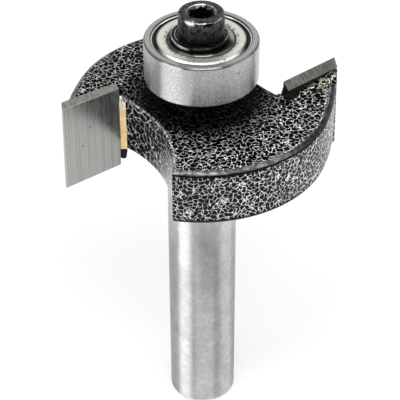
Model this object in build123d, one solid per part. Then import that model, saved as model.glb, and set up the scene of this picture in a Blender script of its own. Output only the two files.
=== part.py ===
from build123d import *
import os
from math import acos, atan2, cos, degrees, radians, sin, tan

# A two-flute rebating router bit with a ball-bearing pilot, in millimetres.
# The origin is the middle of the shank's end face, and +Z runs up the axis to the pilot screw.
# Seen from the screw, the bit cuts anticlockwise. Tip 1 has its cutting edge on +X, tip 2 on -X.

os.makedirs("parts", exist_ok=True)

# Shank
SHANK_D = 8.0
SHANK_LENGTH = 37.1
SHANK_CHAMFER = 0.5
SHANK_ROOT_RADIUS = 0.6

# Cutter head: a thick disc with a gullet and a tip seat for each flute
FLUTES = 2
HEAD_THICKNESS = 6.8
HEAD_EDGE_RADIUS = 0.6
GULLET_MOUTH = 58.5       # degrees about the axis, from a cutting edge to the far lip of its gullet
GULLET_RADIUS = 16.2
LAND_RADIUS = 30.0        # the land behind each tip falls away to the rim on this flatter arc
LAND_SETBACK = 0.2        # how far a land starts in from the outer corner of its tip's back

# Carbide tips
CUTTING_D = 31.9
TIP_STANDOUT = 1.5        # from the head's rim out to a cutting edge
TIP_LENGTH = 7.5
TIP_THICKNESS = 1.55
TIP_HEIGHT = 10.6
TIP_DROP = 1.95           # how far a tip hangs below the head's underside
HOOK_ANGLE = 18.0
FLANK_RELIEF = 11.0
END_DISH = 2.5
END_RELIEF = 7.0
TIP_LEAN = 1.0            # degrees that a cutting edge leans outwards on its way down

# Braze that holds the tips
BRAZE_FILM = 0.1
BRAZE_PAD = 0.58
BRAZE_RECESS = 0.15
SEAT_STEP = 0.45          # how far the seat's inner corner stands in front of the cutting face
SEAT_RELIEF_RADIUS = 0.6

# Bearing: a shielded deep-groove ball bearing
BEARING_BORE = 4.762
BEARING_D = 12.7
BEARING_WIDTH = 4.978
BALLS = 7
BALL_D = 2.381
BALL_PLAY = 0.012
RACE_CONFORMITY = 0.52    # groove radius over ball diameter
GROOVE_DEPTH = 0.52       # from a ring's shoulder down to the floor of its ball groove
OUTER_CORNER = 0.3
INNER_CORNER = 0.15

# Shields and the wire rings that hold them
SHIELD_THICKNESS = 0.2
SHIELD_DEPTH = 0.4        # from the bearing's face down to the shield's clamped rim
SHIELD_TOP_DEPTH = 0.1    # from the bearing's face down to the shield's raised middle
SHIELD_WALL = 0.8         # wall of the outer ring around the shield
SHIELD_RIM = 0.4          # width of the clamped rim
SHIELD_SLOPE = 0.2        # width of the step between the rim and the middle
SHIELD_GAP = 0.15         # radial gap between the shield and the inner ring
SHIELD_LIP = 0.35         # width of the bevel at the shield's bore
SHIELD_LIP_DROP = 0.1
SHIELD_PLAY = 0.02
WIRE_D = 0.3
WIRE_BITE = 0.1           # how deep the wire ring sits in the outer ring's groove
WIRE_PLAY = 0.01
WIRE_GAP_ANGLE = 16.0
WIRE_GAP_AT = -117.0
FIRST_BALL_AT = 20.0

# Cage: two pressed ribbons, clipped together by tongues between the balls
CAGE_SHEET = 0.2
CAGE_PLAY = 0.23          # radial gap between the cage and each ring's shoulder
POCKET_PLAY = 0.03
TONGUE_WIDTH = 0.5
TONGUE_FOLD = 0.4         # radial length of a tongue's folded end
TONGUE_FOLD_SHEET = 0.1
TONGUE_PLAY = 0.02

# Pilot: what the bearing sits on and what holds it there
BOSS_D = 7.0
BOSS_HEIGHT = 2.75
BOSS_ROOT_RADIUS = 0.5
POST_PLAY = 0.01          # radial, between the post and the bearing's bore
POST_SETBACK = 0.3        # from the bearing's upper face down to the post's end
POST_CHAMFER = 0.2
WASHER_D = 6.4
WASHER_BORE = 3.4
WASHER_THICKNESS = 0.5
WASHER_EDGE = 0.12
WASHER_SHIFT = 0.16       # how far the washer has settled to one side
WASHER_SHIFT_AT = 161.0

# Socket-head screw
SCREW_D = 3.0
SCREW_LENGTH = 8.0
THREAD_PLAY = 0.03
HOLE_SPARE = 1.2          # depth of the tapped hole beyond the screw's end
DRILL_POINT = 118.0
SCREW_HEAD_D = 5.1
SCREW_HEAD_HEIGHT = 2.75
SCREW_HEAD_EDGE = 0.3
SCREW_FOOT_EDGE = 0.1
SCREW_TIP_CHAMFER = 0.4
HEX_ACROSS_FLATS = 2.5
HEX_DEPTH = 1.4
HEX_LEAD_D = 3.2
HEX_TURN = 11.0           # degrees that the screw came to rest turned by

# Heights worked out from the sizes above
HEAD_Z = SHANK_LENGTH
HEAD_MID_Z = HEAD_Z + HEAD_THICKNESS / 2
HEAD_TOP_Z = HEAD_Z + HEAD_THICKNESS
BEARING_Z = HEAD_TOP_Z + BOSS_HEIGHT
BEARING_MID_Z = BEARING_Z + BEARING_WIDTH / 2
BEARING_TOP_Z = BEARING_Z + BEARING_WIDTH
POST_TOP_Z = BEARING_TOP_Z - POST_SETBACK
SCREW_SEAT_Z = BEARING_TOP_Z + WASHER_THICKNESS
SCREW_TOP_Z = SCREW_SEAT_Z + SCREW_HEAD_HEIGHT
TIP_TOP_Z = HEAD_Z - TIP_DROP + TIP_HEIGHT

# The bearing's own sections, as (radius, height above its middle)
HALF_WIDTH = BEARING_WIDTH / 2
BALL_R = BALL_D / 2
PITCH_R = (BEARING_BORE + BEARING_D) / 4
GROOVE_R = RACE_CONFORMITY * BALL_D
OUTER_FLOOR_R = PITCH_R + BALL_R + BALL_PLAY
INNER_FLOOR_R = PITCH_R - BALL_R - BALL_PLAY
OUTER_SHOULDER_R = OUTER_FLOOR_R - GROOVE_DEPTH
INNER_SHOULDER_R = INNER_FLOOR_R + GROOVE_DEPTH
CAGE_INNER_R = INNER_SHOULDER_R + CAGE_PLAY
CAGE_OUTER_R = OUTER_SHOULDER_R - CAGE_PLAY
TONGUE_R = (CAGE_INNER_R + CAGE_OUTER_R) / 2
SHIELD_SEAT_R = BEARING_D / 2 - SHIELD_WALL
SHIELD_RIM_TOP = HALF_WIDTH - SHIELD_DEPTH
WIRE_CENTRE_R = SHIELD_SEAT_R + WIRE_BITE - WIRE_D / 2
WIRE_Z = SHIELD_RIM_TOP + WIRE_D / 2

# Directions in plan for tip 1: out along its face, square to the face towards its back,
# back along its relieved flank, and back along its inner end
FACE = Vector(cos(radians(HOOK_ANGLE)), sin(radians(HOOK_ANGLE)))
BACK = Vector(sin(radians(HOOK_ANGLE)), -cos(radians(HOOK_ANGLE)))
FLANK = Vector(-sin(radians(FLANK_RELIEF)), -cos(radians(FLANK_RELIEF)))
TAIL = Vector(0, -1)

# Plan points of tip 1 at its upper end
EDGE = Vector(CUTTING_D / 2, 0)
HEEL = EDGE + FLANK * (TIP_THICKNESS / FLANK.dot(BACK))
FACE_END = EDGE - FACE * TIP_LENGTH
BACK_END = FACE_END + TAIL * (TIP_THICKNESS / TAIL.dot(BACK))

# Plan points of tip 1's seat and gullet, and the radius of the rim between the flutes
RIM_R = CUTTING_D / 2 - TIP_STANDOUT
SEAT_DEPTH = TIP_THICKNESS + BRAZE_FILM
LAND_FRONT = HEEL + BACK * BRAZE_FILM - FACE * LAND_SETBACK
LAND_FRONT_AT = degrees(atan2(LAND_FRONT.Y, LAND_FRONT.X))
FACE_AT_WALL = FACE_END - FACE * (BRAZE_PAD / FACE.X)
SEAT_CORNER = FACE_AT_WALL + TAIL * (SEAT_DEPTH / TAIL.dot(BACK))
GULLET_HEEL = FACE_AT_WALL - TAIL * SEAT_STEP
OUTSIDE_R = 0.7 * CUTTING_D
EDGE_OUTSIDE = EDGE + FACE * OUTSIDE_R


def polar(radius, angle):
    """A point in plan at a radius and an angle in degrees."""
    return Vector(radius * cos(radians(angle)), radius * sin(radians(angle)))


def turned(section):
    """A section drawn as (radius, height), turned about the Z axis."""
    return revolve(Plane.XZ * section, Axis.Z)


def band(inner_r, outer_r, z_low, z_high):
    """The rectangular section of a plain ring."""
    middle = Pos((inner_r + outer_r) / 2, (z_low + z_high) / 2)
    return middle * Rectangle(outer_r - inner_r, z_high - z_low)


def per_flute(shape):
    """A shape of tip 1 and its copies for the other tips."""
    return [Rot(0, 0, 360 / FLUTES * flute) * shape for flute in range(FLUTES)]


def head_outline():
    """The disc in plan, with a land behind each tip that runs into the rim without a corner."""
    centre_r = LAND_RADIUS - RIM_R
    front_r = LAND_FRONT.length
    reach = acos((LAND_RADIUS**2 - centre_r**2 - front_r**2) / (2 * centre_r * front_r))
    end = polar(RIM_R, LAND_FRONT_AT - degrees(reach))
    arc = RadiusArc(LAND_FRONT, end, LAND_RADIUS)
    return Circle(RIM_R) + per_flute(make_face([arc, Polyline(end, (0, 0), LAND_FRONT)]))


def gullet_outline():
    """What the gullet of tip 1 takes from the disc: a hollow arc from the seat out to the rim."""
    lip = polar(RIM_R, GULLET_MOUTH)
    lip_outside = polar(OUTSIDE_R, GULLET_MOUTH)
    wall = RadiusArc(GULLET_HEEL, lip, GULLET_RADIUS)
    return make_face([wall, Polyline(lip, lip_outside, EDGE_OUTSIDE, FACE_END, GULLET_HEEL)])


def seat_outline():
    """The step behind the cutting face that tip 1 and its braze sit in."""
    back_outside = EDGE_OUTSIDE + BACK * SEAT_DEPTH
    return make_face(Polyline(GULLET_HEEL, SEAT_CORNER, back_outside, EDGE_OUTSIDE, FACE_END, close=True))


def cutter_head():
    """The disc with its gullets and tip seats, its curved edges rounded off."""
    outline = head_outline() - per_flute(gullet_outline()) - per_flute(seat_outline())
    disc = extrude(Pos(0, 0, HEAD_Z) * outline, HEAD_THICKNESS)
    faces = disc.faces().sort_by(Axis.Z)
    rims = faces[0].edges() + faces[-1].edges()
    disc = fillet(rims.filter_by(GeomType.CIRCLE), HEAD_EDGE_RADIUS)
    relief = extrude(Pos(SEAT_CORNER.X, SEAT_CORNER.Y, HEAD_Z) * Circle(SEAT_RELIEF_RADIUS), HEAD_THICKNESS)
    return disc - per_flute(relief)


def spindle():
    """Shank, boss and pilot post, turned in one piece."""
    shank_r = SHANK_D / 2
    boss_r = BOSS_D / 2
    post_r = BEARING_BORE / 2 - POST_PLAY
    shank_end = (shank_r, HEAD_Z - SHANK_ROOT_RADIUS)
    head_foot = (shank_r + SHANK_ROOT_RADIUS, HEAD_Z)
    head_top = (boss_r + BOSS_ROOT_RADIUS, HEAD_TOP_Z)
    boss_foot = (boss_r, HEAD_TOP_Z + BOSS_ROOT_RADIUS)
    post_foot = (post_r, BEARING_Z)
    shank = Polyline((0, 0), (shank_r - SHANK_CHAMFER, 0), (shank_r, SHANK_CHAMFER), shank_end)
    core = Polyline(head_foot, (head_foot[0], HEAD_MID_Z), (head_top[0], HEAD_MID_Z), head_top)
    boss = Polyline(boss_foot, (boss_r, BEARING_Z), post_foot)
    post = Polyline(post_foot, (post_r, POST_TOP_Z - POST_CHAMFER), (post_r - POST_CHAMFER, POST_TOP_Z),
                    (0, POST_TOP_Z), (0, 0))
    shank_root = RadiusArc(shank_end, head_foot, SHANK_ROOT_RADIUS)
    boss_root = RadiusArc(head_top, boss_foot, BOSS_ROOT_RADIUS)
    return turned(make_face([shank, shank_root, core, boss_root, boss, post]))


def screw_hole():
    """The tapped hole down the post, with its drilled point."""
    hole_r = SCREW_D / 2
    end_z = SCREW_SEAT_Z - SCREW_LENGTH - HOLE_SPARE
    point_z = end_z - hole_r / tan(radians(DRILL_POINT / 2))
    return turned(make_face(Polyline((0, point_z), (hole_r, end_z), (hole_r, POST_TOP_Z), (0, POST_TOP_Z),
                                     close=True)))


def cutter_body():
    """The one piece of steel that everything else is fixed to."""
    return cutter_head() + spindle() - screw_hole()


def carbide_tip():
    """Tip 1: a slab that leans outwards on its way down, with a dished and relieved upper end."""
    plan = make_face(Polyline(EDGE, FACE_END, BACK_END, HEEL, close=True))
    lean = FACE * tan(radians(TIP_LEAN)) - Vector(0, 0, 1)
    slab = extrude(Pos(0, 0, TIP_TOP_Z) * plan, TIP_HEIGHT * lean.length, dir=lean)
    slope = BACK * tan(radians(END_RELIEF)) - FACE * tan(radians(END_DISH)) + Vector(0, 0, 1)
    end = Plane(origin=EDGE + Vector(0, 0, TIP_TOP_Z), z_dir=slope)
    return split(slab, bisect_by=end, keep=Keep.BOTTOM)


def braze(tip):
    """The braze in tip 1's seat: a film behind the tip and a pad at its inner end."""
    plan = seat_outline() & head_outline()
    return extrude(Pos(0, 0, HEAD_Z + BRAZE_RECESS) * plan, HEAD_THICKNESS - 2 * BRAZE_RECESS) - tip


def outer_ring():
    """Outer ring of the bearing, with its ball groove, shield seats and wire grooves."""
    section = band(OUTER_SHOULDER_R, BEARING_D / 2, -HALF_WIDTH, HALF_WIDTH)
    section = fillet(section.vertices().group_by(Axis.X)[-1], OUTER_CORNER)
    section -= Pos(OUTER_FLOOR_R - GROOVE_R, 0) * Circle(GROOVE_R)
    seat = band(0, SHIELD_SEAT_R, SHIELD_RIM_TOP - SHIELD_THICKNESS, HALF_WIDTH)
    groove = Pos(WIRE_CENTRE_R, WIRE_Z) * Circle(WIRE_D / 2 + WIRE_PLAY)
    section -= seat + groove
    section -= mirror(seat + groove, Plane.XZ)
    return turned(section)


def inner_ring():
    """Inner ring of the bearing, with its ball groove."""
    section = band(BEARING_BORE / 2, INNER_SHOULDER_R, -HALF_WIDTH, HALF_WIDTH)
    section = chamfer(section.vertices(), INNER_CORNER)
    return turned(section - Pos(INNER_FLOOR_R + GROOVE_R, 0) * Circle(GROOVE_R))


def ball(index):
    """One ball of the bearing."""
    return Pos(polar(PITCH_R, FIRST_BALL_AT + 360 / BALLS * index)) * Sphere(BALL_R)


def shield():
    """The upper shield: a clamped rim, a step up to the middle and a bevel down to the bore."""
    rim_r = SHIELD_SEAT_R - SHIELD_RIM
    bore_r = INNER_SHOULDER_R + SHIELD_GAP
    middle_top = HALF_WIDTH - SHIELD_TOP_DEPTH
    top = [
        (SHIELD_SEAT_R - SHIELD_PLAY, SHIELD_RIM_TOP),
        (rim_r, SHIELD_RIM_TOP),
        (rim_r - SHIELD_SLOPE, middle_top),
        (bore_r + SHIELD_LIP, middle_top),
        (bore_r, middle_top - SHIELD_LIP_DROP),
    ]
    bottom = [(r, z - SHIELD_THICKNESS) for r, z in reversed(top)]
    return turned(make_face(Polyline(*top, *bottom, close=True)))


def wire_ring():
    """The upper wire ring: round wire sprung into the outer ring's groove, with a gap in it."""
    section = Plane.XZ * Pos(WIRE_CENTRE_R, WIRE_Z) * Circle(WIRE_D / 2)
    wire = revolve(section, Axis.Z, revolution_arc=360 - WIRE_GAP_ANGLE)
    return Rot(0, 0, WIRE_GAP_AT + WIRE_GAP_ANGLE / 2) * wire


def cage_ribbon():
    """The upper ribbon of the cage: a flat ring pressed up into a pocket over each ball."""
    pocket_r = BALL_R + POCKET_PLAY
    column = turned(band(CAGE_INNER_R, CAGE_OUTER_R, 0, pocket_r + CAGE_SHEET))
    ribbon = turned(band(CAGE_INNER_R, CAGE_OUTER_R, 0, CAGE_SHEET))
    for index in range(BALLS):
        place = Pos(polar(PITCH_R, FIRST_BALL_AT + 360 / BALLS * index))
        ribbon += column & place * Sphere(pocket_r + CAGE_SHEET)
        ribbon -= place * Sphere(pocket_r)
    return ribbon


def between_balls(shape):
    """A shape drawn on X, copied to the middle of every gap between balls."""
    return [Rot(0, 0, FIRST_BALL_AT + 360 / BALLS * (index + 0.5)) * shape for index in range(BALLS)]


def cage_slot():
    """The slot in the lower ribbon that a tongue passes through."""
    side = CAGE_SHEET + 2 * TONGUE_PLAY
    return Pos(TONGUE_R, 0, -CAGE_SHEET / 2) * Box(side, TONGUE_WIDTH + 2 * TONGUE_PLAY, CAGE_SHEET)


def cage_tongue():
    """A tongue of the upper ribbon, folded outwards under the lower one."""
    stem = Pos(TONGUE_R, 0, -CAGE_SHEET / 2) * Box(CAGE_SHEET, TONGUE_WIDTH, CAGE_SHEET)
    fold_place = Pos(TONGUE_R + (TONGUE_FOLD - CAGE_SHEET) / 2, 0, -CAGE_SHEET - TONGUE_FOLD_SHEET / 2)
    return stem + fold_place * Box(TONGUE_FOLD, TONGUE_WIDTH, TONGUE_FOLD_SHEET)


def washer():
    """The washer between the bearing's inner ring and the screw, settled to one side."""
    section = band(WASHER_BORE / 2, WASHER_D / 2, BEARING_TOP_Z, SCREW_SEAT_Z)
    section = chamfer(section.vertices().group_by(Axis.X)[-1], WASHER_EDGE)
    return Pos(polar(WASHER_SHIFT, WASHER_SHIFT_AT)) * turned(section)


def cap_screw():
    """The socket-head screw, its thread drawn as a plain cylinder."""
    thread = band(0, SCREW_D / 2 - THREAD_PLAY, SCREW_SEAT_Z - SCREW_LENGTH, SCREW_SEAT_Z)
    thread = chamfer(thread.vertices().sort_by(Axis.Y)[:2].sort_by(Axis.X)[-1], SCREW_TIP_CHAMFER)
    head = band(0, SCREW_HEAD_D / 2, SCREW_SEAT_Z, SCREW_TOP_Z)
    rim = head.vertices().group_by(Axis.X)[-1].sort_by(Axis.Y)
    head = fillet(rim[-1], SCREW_HEAD_EDGE)
    head = chamfer(head.vertices().group_by(Axis.X)[-1].sort_by(Axis.Y)[0], SCREW_FOOT_EDGE)
    hexagon = RegularPolygon(HEX_ACROSS_FLATS / 2, 6, major_radius=False, rotation=HEX_TURN)
    socket = extrude(Pos(0, 0, SCREW_TOP_Z) * hexagon, -HEX_DEPTH)
    lead_foot = (HEX_ACROSS_FLATS / 2, SCREW_TOP_Z - (HEX_LEAD_D - HEX_ACROSS_FLATS) / 2)
    lead = turned(make_face(Polyline((0, lead_foot[1]), lead_foot, (HEX_LEAD_D / 2, SCREW_TOP_Z),
                                     (0, SCREW_TOP_Z), close=True)))
    return turned(head + thread) - socket - lead


def bearing_pieces():
    """Every piece of the bearing, drawn about the bearing's own middle."""
    ribbon = cage_ribbon()
    upper_shield = shield()
    upper_wire = wire_ring()
    pieces = {
        "outer_ring": outer_ring(),
        "inner_ring": inner_ring(),
        "cage_upper": ribbon + between_balls(cage_tongue()),
        "cage_lower": mirror(ribbon, Plane.XY) - between_balls(cage_slot()),
        "shield_upper": upper_shield,
        "shield_lower": mirror(upper_shield, Plane.XY),
        "wire_ring_upper": upper_wire,
        "wire_ring_lower": mirror(upper_wire, Plane.XY),
    }
    pieces |= {f"ball_{index + 1}": ball(index) for index in range(BALLS)}
    return pieces


def all_pieces():
    """Every piece of the bit in its place."""
    tip = carbide_tip()
    pieces = {"cutter_body": cutter_body()}
    for number, (own_tip, own_braze) in enumerate(zip(per_flute(tip), per_flute(braze(tip))), 1):
        pieces[f"carbide_tip_{number}"] = own_tip
        pieces[f"braze_{number}"] = own_braze
    for name, piece in bearing_pieces().items():
        pieces[name] = Pos(0, 0, BEARING_MID_Z) * piece
    pieces["washer"] = washer()
    pieces["cap_screw"] = cap_screw()
    return pieces


for node, solid in all_pieces().items():
    export_step(solid, f"parts/{node}.step")
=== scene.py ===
# %% [markdown]
# # A rebating router bit with a ball-bearing pilot
# The bit is a steel cutter with two brazed carbide tips, a shielded ball bearing that runs along the work,
# and a socket-head screw with a washer that keeps the bearing on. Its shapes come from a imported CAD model.
# This notebook gives each piece its finish, rebuilds the few pieces that need finer edges, and lights them.

import math
from functools import reduce

import bmesh
import bpy
from mathutils import Matrix, Vector


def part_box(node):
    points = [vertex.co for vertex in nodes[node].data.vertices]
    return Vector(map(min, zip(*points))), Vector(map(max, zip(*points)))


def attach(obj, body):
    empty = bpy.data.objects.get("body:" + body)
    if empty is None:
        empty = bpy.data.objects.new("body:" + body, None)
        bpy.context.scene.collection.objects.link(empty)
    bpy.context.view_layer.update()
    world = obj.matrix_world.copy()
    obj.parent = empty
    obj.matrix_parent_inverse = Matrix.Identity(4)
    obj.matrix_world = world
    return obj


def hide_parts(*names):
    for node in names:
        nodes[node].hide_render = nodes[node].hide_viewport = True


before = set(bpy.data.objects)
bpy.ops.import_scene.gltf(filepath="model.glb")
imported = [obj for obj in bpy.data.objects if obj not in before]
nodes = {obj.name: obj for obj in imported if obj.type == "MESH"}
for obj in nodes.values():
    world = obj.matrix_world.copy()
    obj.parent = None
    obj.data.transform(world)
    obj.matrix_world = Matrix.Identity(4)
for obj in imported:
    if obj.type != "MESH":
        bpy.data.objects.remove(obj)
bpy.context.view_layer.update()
MM = 0.001

# %% [markdown]
# ## Heights, radii and directions
# Every finish below depends on where it sits on the bit. A lathe-made object is easiest to describe by
# heights along its axis and radii around it, so these are read from the frame once and used everywhere.
# Painted light and shade, the specks on the shields' lips and the studio's darker front differ from side to
# side,
# so two level directions are named: the front, which is turned a little to the left of the bit's own front,
# and the right of that.

# %% Read the main heights and radii
BEARING_LOW = Vector(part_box("outer_ring")[0]).z
SCREW_TOP = Vector(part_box("cap_screw")[1]).z
HEAD_LOW = Vector(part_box("braze_1")[0]).z - 0.15 * MM
HEAD_HIGH = Vector(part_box("braze_1")[1]).z + 0.15 * MM
HEAD_R = 14.45 * MM
BOSS_R = 4.05 * MM
EDGE_POINT = Vector((15.95, 0.0)) * MM
HOOK = math.radians(18.0)
FRONT = (-0.324, -0.946, 0.0)
RIGHT = (0.946, -0.324, 0.0)
print("head from", HEAD_LOW, "to", HEAD_HIGH, "bearing from", BEARING_LOW, "screw to", SCREW_TOP)

# %% [markdown]
# ## Helpers for node trees
# Shader graphs and Geometry Nodes graphs are both trees of nodes. Writing each node as one call, with its
# inputs as values or as links from earlier nodes, keeps a long graph readable from top to bottom. A socket
# knows its tree, so most helpers find the tree from the sockets they are given.


# %% Node helpers
def give(tree, socket, value):
    """Give a socket a value or a link from another node's output."""
    if isinstance(value, bpy.types.NodeSocket):
        tree.links.new(value, socket)
    else:
        socket.default_value = value


def node(tree, kind, inputs=None, **settings):
    """Add a node; inputs maps a socket's name or number to a value or to another node's output."""
    made = tree.nodes.new(kind)
    for name, value in settings.items():
        setattr(made, name, value)
    for name, value in (inputs or {}).items():
        give(tree, made.inputs[name], value)
    return made


def tree_of(*values):
    """The tree of the first socket among the values."""
    return next(value.id_data for value in values if isinstance(value, bpy.types.NodeSocket))


def maths(operation, first, second=0.0):
    """The result of one Math node."""
    tree = tree_of(first, second)
    return node(tree, "ShaderNodeMath", {0: first, 1: second}, operation=operation).outputs[0]


def product(*values):
    """All the values multiplied together."""
    return reduce(lambda first, second: maths("MULTIPLY", first, second), values)


def total(*values):
    """All the values added together."""
    return reduce(lambda first, second: maths("ADD", first, second), values)


def greatest(*values):
    """The greatest of the values."""
    return reduce(lambda first, second: maths("MAXIMUM", first, second), values)


def step(value, low, high, at_low=0.0, at_high=1.0):
    """A smooth step: at_low below low, at_high above high."""
    ends = {"Value": value, "From Min": low, "From Max": high, "To Min": at_low, "To Max": at_high}
    return node(value.id_data, "ShaderNodeMapRange", ends, interpolation_type="SMOOTHSTEP").outputs["Result"]


def fade(value, low, high):
    """A smooth step down: 1 below low, 0 above high."""
    return step(value, low, high, 1.0, 0.0)


def blend_values(mask, first, second):
    """first where the mask is 0, second where it is 1."""
    tree = tree_of(mask, first, second)
    return node(tree, "ShaderNodeMix", {0: mask, 2: first, 3: second}).outputs[0]


def blend(mask, first, second):
    """The first colour where the mask is 0, the second where it is 1; a single number is a grey."""
    tree = tree_of(mask, first, second)
    mix = node(tree, "ShaderNodeMix", {0: mask}, data_type="RGBA")
    for number, colour in ((6, first), (7, second)):
        if isinstance(colour, float):
            colour = (colour, colour, colour)
        if isinstance(colour, tuple):
            colour = (*colour, 1.0)
        give(tree, mix.inputs[number], colour)
    return mix.outputs[2]


def layered(colour, *layers):
    """A colour with others laid over it, each through its own mask."""
    return reduce(lambda under, layer: blend(layer[0], under, layer[1]), layers, colour)


# %% [markdown]
# ## Helpers for places
# A place is a vector in the object's own coordinates, so a pattern stays on its piece wherever the piece
# goes. These helpers turn a place into the numbers that a finish asks for: how high, how far from the axis,
# how far along a direction, how far from a mark.


# %% Place helpers
def vector_maths(operation, first, second=(0.0, 0.0, 0.0)):
    """The vector result of one Vector Math node."""
    return node(first.id_data, "ShaderNodeVectorMath", {0: first, 1: second}, operation=operation).outputs[0]


def scaled_by(vector, factor):
    """The vector times a factor."""
    inputs = {0: vector, "Scale": factor}
    return node(vector.id_data, "ShaderNodeVectorMath", inputs, operation="SCALE").outputs[0]


def length_of(vector):
    """The length of a vector."""
    return node(vector.id_data, "ShaderNodeVectorMath", {0: vector}, operation="LENGTH").outputs["Value"]


def part_of(vector, axis):
    """The X, Y or Z of a vector."""
    return node(vector.id_data, "ShaderNodeSeparateXYZ", {0: vector}).outputs[axis]


def radius_of(place):
    """The distance from the upright axis."""
    return length_of(vector_maths("MULTIPLY", place, (1.0, 1.0, 0.0)))


def distance_along(place, direction):
    """How far a place lies along a direction from the middle."""
    inputs = {0: place, 1: direction}
    return node(place.id_data, "ShaderNodeVectorMath", inputs, operation="DOT_PRODUCT").outputs["Value"]


def distance_from(place, mark, stretch=(1.0, 1.0, 1.0)):
    """The distance from a mark in millimetres; a larger stretch makes it grow faster along that axis."""
    away = vector_maths("SUBTRACT", place, [part * MM for part in mark])
    return length_of(vector_maths("MULTIPLY", away, stretch))


def facing_up(tree):
    """How far the surface faces up: 1 on a level top, 0 on an upright wall."""
    return part_of(node(tree, "ShaderNodeNewGeometry").outputs["Normal"], "Z")


def noise(place, scale, detail, **more):
    """The value of a Noise Texture, between 0 and 1 and mostly near 0.5."""
    inputs = {"Vector": place, "Scale": scale, "Detail": detail} | more
    return node(place.id_data, "ShaderNodeTexNoise", inputs).outputs["Fac"]


def swing(value, size=1.0):
    """A noise value moved to swing about 0, by a size."""
    return product(maths("SUBTRACT", value, 0.5), size)


# %% [markdown]
# ## Helpers for groups and materials
# A node group is a graph with sockets of its own, made once and placed in many materials. A material here is
# always a Principled BSDF: what never changes is set on its sockets, and what varies is linked to them.


# %% Group and material helpers
def new_group(name, inputs, outputs, kind="NodeSocketFloat"):
    """A shader node group with a vector 'Place' and float inputs; kind is the kind of its outputs."""
    tree = bpy.data.node_groups.new(name, "ShaderNodeTree")
    tree.interface.new_socket("Place", in_out="INPUT", socket_type="NodeSocketVector")
    for title, value in inputs.items():
        socket = tree.interface.new_socket(title, in_out="INPUT", socket_type="NodeSocketFloat")
        socket.default_value = value
    for title in outputs:
        tree.interface.new_socket(title, in_out="OUTPUT", socket_type=kind)
    return tree, tree.nodes.new("NodeGroupInput").outputs, tree.nodes.new("NodeGroupOutput").inputs


def use_group(group, place, **values):
    """Place a group in a material, with its own values; underscores in names stand for spaces."""
    inputs = {"Place": place} | {name.replace("_", " "): value for name, value in values.items()}
    return node(place.id_data, "ShaderNodeGroup", inputs, node_tree=group).outputs


def new_material(name, settings):
    """A material with its Principled BSDF set; gives it, its tree, the BSDF's sockets and the place."""
    material = bpy.data.materials.new(name)
    material.use_nodes = True
    tree = material.node_tree
    sockets = tree.nodes["Principled BSDF"].inputs
    for title, value in settings.items():
        sockets[title].default_value = value
    return material, tree, sockets, node(tree, "ShaderNodeTexCoord").outputs["Object"]


def feed(sockets, **values):
    """Link outputs to sockets by name; underscores in names stand for spaces."""
    for name, value in values.items():
        value.id_data.links.new(value, sockets[name.replace("_", " ")])
    print("fed", *values)


def bump(height, distance, strength=1.0):
    """A normal from a height, where a height of 1 stands distance metres high."""
    inputs = {"Height": height, "Distance": distance, "Strength": strength}
    return node(height.id_data, "ShaderNodeBump", inputs).outputs["Normal"]


# %% [markdown]
# ## Group: hammertone cells
# Hammertone paint draws itself into dark round cells while it dries, and its aluminium flakes gather in the
# veins between them. A Voronoi texture is the usual start. The gap between the nearest and the second
# nearest point gives cells with round corners and veins that widen where they meet, which the plain
# distance-to-edge output lacks. Noise bends the cells first, so that none of them has straight sides.

# %% Build the hammertone group
hammer_cells, given, result = new_group(
    "hammertone cells",
    {"Cell Size": 0.6 * MM, "Vein": 0.3, "Bend": 0.35, "Breaks": 0.45},
    ("Vein", "Height", "Tone"),
)
tree = hammer_cells
scaled = scaled_by(given["Place"], maths("DIVIDE", 1.0, given["Cell Size"]))
bender = node(tree, "ShaderNodeTexNoise", {"Vector": scaled, "Scale": 0.8, "Detail": 2.0}).outputs["Color"]
offset = scaled_by(vector_maths("SUBTRACT", bender, (0.5, 0.5, 0.5)), given["Bend"])
bent = vector_maths("ADD", scaled, offset)
nearest, second = (
    node(tree, "ShaderNodeTexVoronoi", {"Vector": bent, "Scale": 1.0}, feature=feature).outputs["Distance"]
    for feature in ("F1", "F2")
)
gap = maths("SUBTRACT", second, nearest)
width = product(given["Vein"], total(noise(scaled, 0.45, 2.0), 0.45))
vein = fade(gap, product(width, 0.35), width)
whole = step(noise(bent, 1.6, 1.0), given["Breaks"], total(given["Breaks"], 0.08))
feed(
    result,
    Vein=product(vein, whole),
    Height=step(gap, 0.0, 0.7),
    Tone=noise(scaled, 3.5, 3.0),
)

# %% [markdown]
# ## Group: drawn lines
# Grinding, turning and polishing all leave fine parallel lines. Noise that is squeezed hard across the
# stroke and stretched along it looks like them. The group takes a place whose X runs across the lines and
# whose Z runs along them, so each material only has to turn its place the right way.

# %% Build the drawn-lines group
drawn_lines, given, result = new_group(
    "drawn lines", {"Spacing": 0.1 * MM, "Length": 8.0 * MM}, ("Lines", "Streaks")
)
tree = drawn_lines
across, along = (maths("DIVIDE", 1.0, given[title]) for title in ("Spacing", "Length"))
squeeze = node(tree, "ShaderNodeCombineXYZ", {"X": across, "Y": across, "Z": along}).outputs[0]
squeezed = vector_maths("MULTIPLY", given["Place"], squeeze)
feed(result, Lines=noise(squeezed, 1.0, 3.0), Streaks=noise(squeezed, 0.22, 2.0))

# %% [markdown]
# ## Group: specks
# Handled metal carries tiny pits, dust and dried oil. A Voronoi cell whose random value is low enough
# becomes a speck, and the distance to its point makes the speck round. Two thresholds set how many there are
# and how large they are.

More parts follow.
